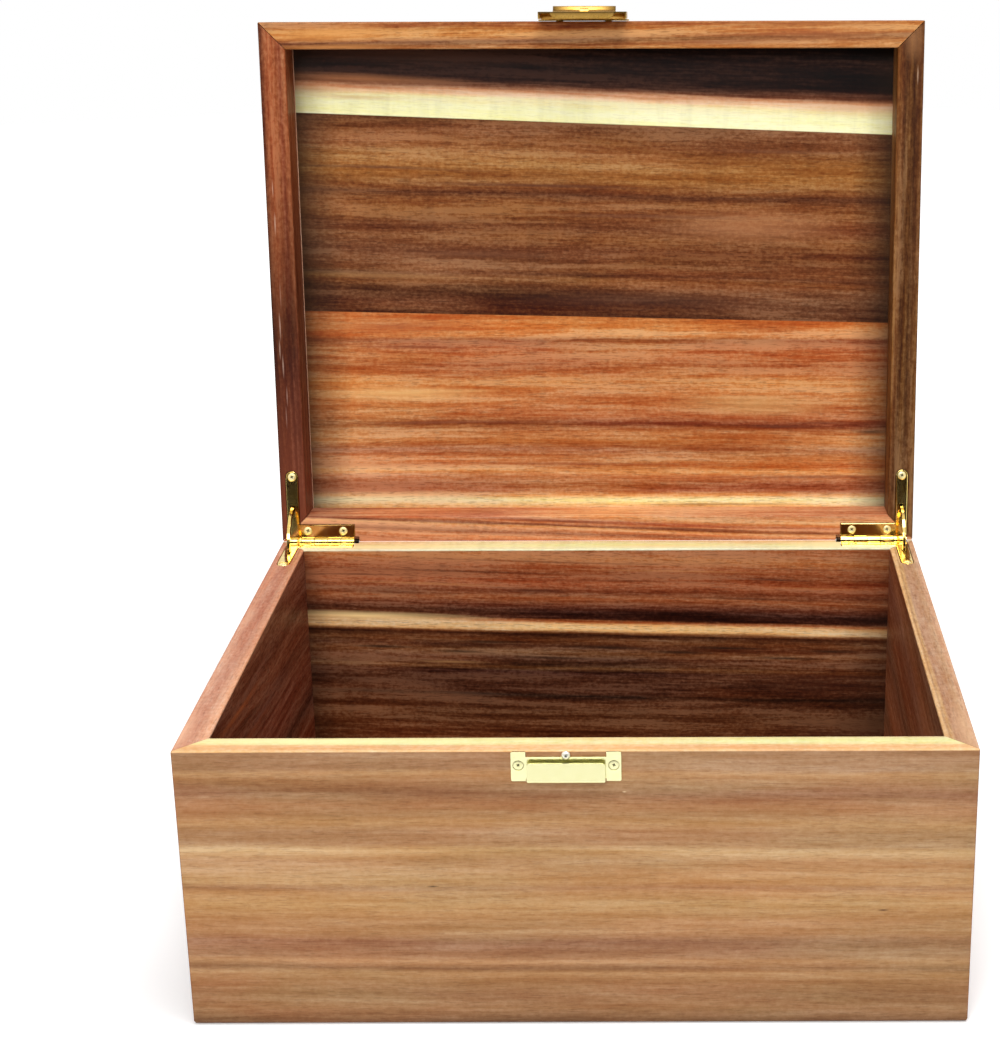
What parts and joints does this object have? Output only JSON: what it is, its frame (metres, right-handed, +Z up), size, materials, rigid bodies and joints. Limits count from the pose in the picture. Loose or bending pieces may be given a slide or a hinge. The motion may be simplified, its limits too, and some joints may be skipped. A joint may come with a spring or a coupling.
{
  "type": "keepsake chest",
  "caption": "Hinged wooden keepsake chest of mitred acacia boards with brass quadrant hinges and a brass front latch, lid open.",
  "frame": {"origin": "middle of the body's underside, where it rests", "axes": "+X to the right seen from the latch side, +Y to the hinges, +Z up"},
  "size_m": [0.3, 0.295, 0.3613],
  "materials": {
    "acacia_light": "satin lacquer, light tan with fine darker streaks",
    "acacia_mid": "satin lacquer, red-brown with pale sapwood bands",
    "acacia_dark": "satin lacquer, dark brown with near-black streaks",
    "polished_brass": "polished",
    "nickel": "bright plated"
  },
  "bodies": {
    "chest": {"front_panel": "acacia_light", "back_panel": "acacia_dark", "left_side_panel": "acacia_mid", "right_side_panel": "acacia_mid", "floor_panel": "acacia_dark", "left_hinge_body_leaf": "polished_brass", "right_hinge_body_leaf": "polished_brass", "left_hinge_pin": "polished_brass", "right_hinge_pin": "polished_brass", "left_hinge_body_leaf_screw_1": "polished_brass", "left_hinge_body_leaf_screw_2": "polished_brass", "left_hinge_body_leaf_screw_3": "polished_brass", "right_hinge_body_leaf_screw_1": "polished_brass", "right_hinge_body_leaf_screw_2": "polished_brass", "right_hinge_body_leaf_screw_3": "polished_brass", "keeper": "polished_brass", "keeper_left_screw": "polished_brass", "keeper_right_screw": "polished_brass", "keeper_round_screw": "nickel"},
    "lid": {"lid_front_rail": "acacia_mid", "lid_back_rail": "acacia_mid", "lid_left_rail": "acacia_dark", "lid_right_rail": "acacia_dark", "lid_top_panel": "acacia_mid", "left_hinge_lid_leaf": "polished_brass", "right_hinge_lid_leaf": "polished_brass", "left_hinge_lid_leaf_screw_1": "polished_brass", "left_hinge_lid_leaf_screw_2": "polished_brass", "left_hinge_lid_leaf_screw_3": "polished_brass", "right_hinge_lid_leaf_screw_1": "polished_brass", "right_hinge_lid_leaf_screw_2": "polished_brass", "right_hinge_lid_leaf_screw_3": "polished_brass", "latch_base": "polished_brass", "latch_left_screw": "polished_brass", "latch_right_screw": "polished_brass", "latch_pin": "polished_brass"},
    "left_stay": {"left_hinge_stay": "polished_brass"},
    "right_stay": {"right_hinge_stay": "polished_brass"},
    "flap": {"latch_flap": "polished_brass"}
  },
  "joints": [
    {"name": "lid_close", "type": "hinge", "parent": "chest", "child": "lid", "pos_m": [0, 0.12, 0.1162], "axis": [1, 0, 0], "range_deg": [0, 95]},
    {"name": "left_stay_slide", "type": "hinge", "parent": "chest", "child": "left_stay", "pos_m": [-0.1443, 0.12, 0.1162], "axis": [1, 0, 0], "range_deg": [0, 47.5]},
    {"name": "right_stay_slide", "type": "hinge", "parent": "chest", "child": "right_stay", "pos_m": [0.1443, 0.12, 0.1162], "axis": [1, 0, 0], "range_deg": [0, 47.5]},
    {"name": "flap_lift", "type": "hinge", "parent": "lid", "child": "flap", "pos_m": [-0.0035, 0.14778, 0.35689], "axis": [-1, 0, 0], "range_deg": [0, 40]}
  ],
  "couplings": [
    {"joint": "left_stay_slide", "follows": "lid_close", "ratio": 0.5},
    {"joint": "right_stay_slide", "follows": "lid_close", "ratio": 0.5}
  ]
}
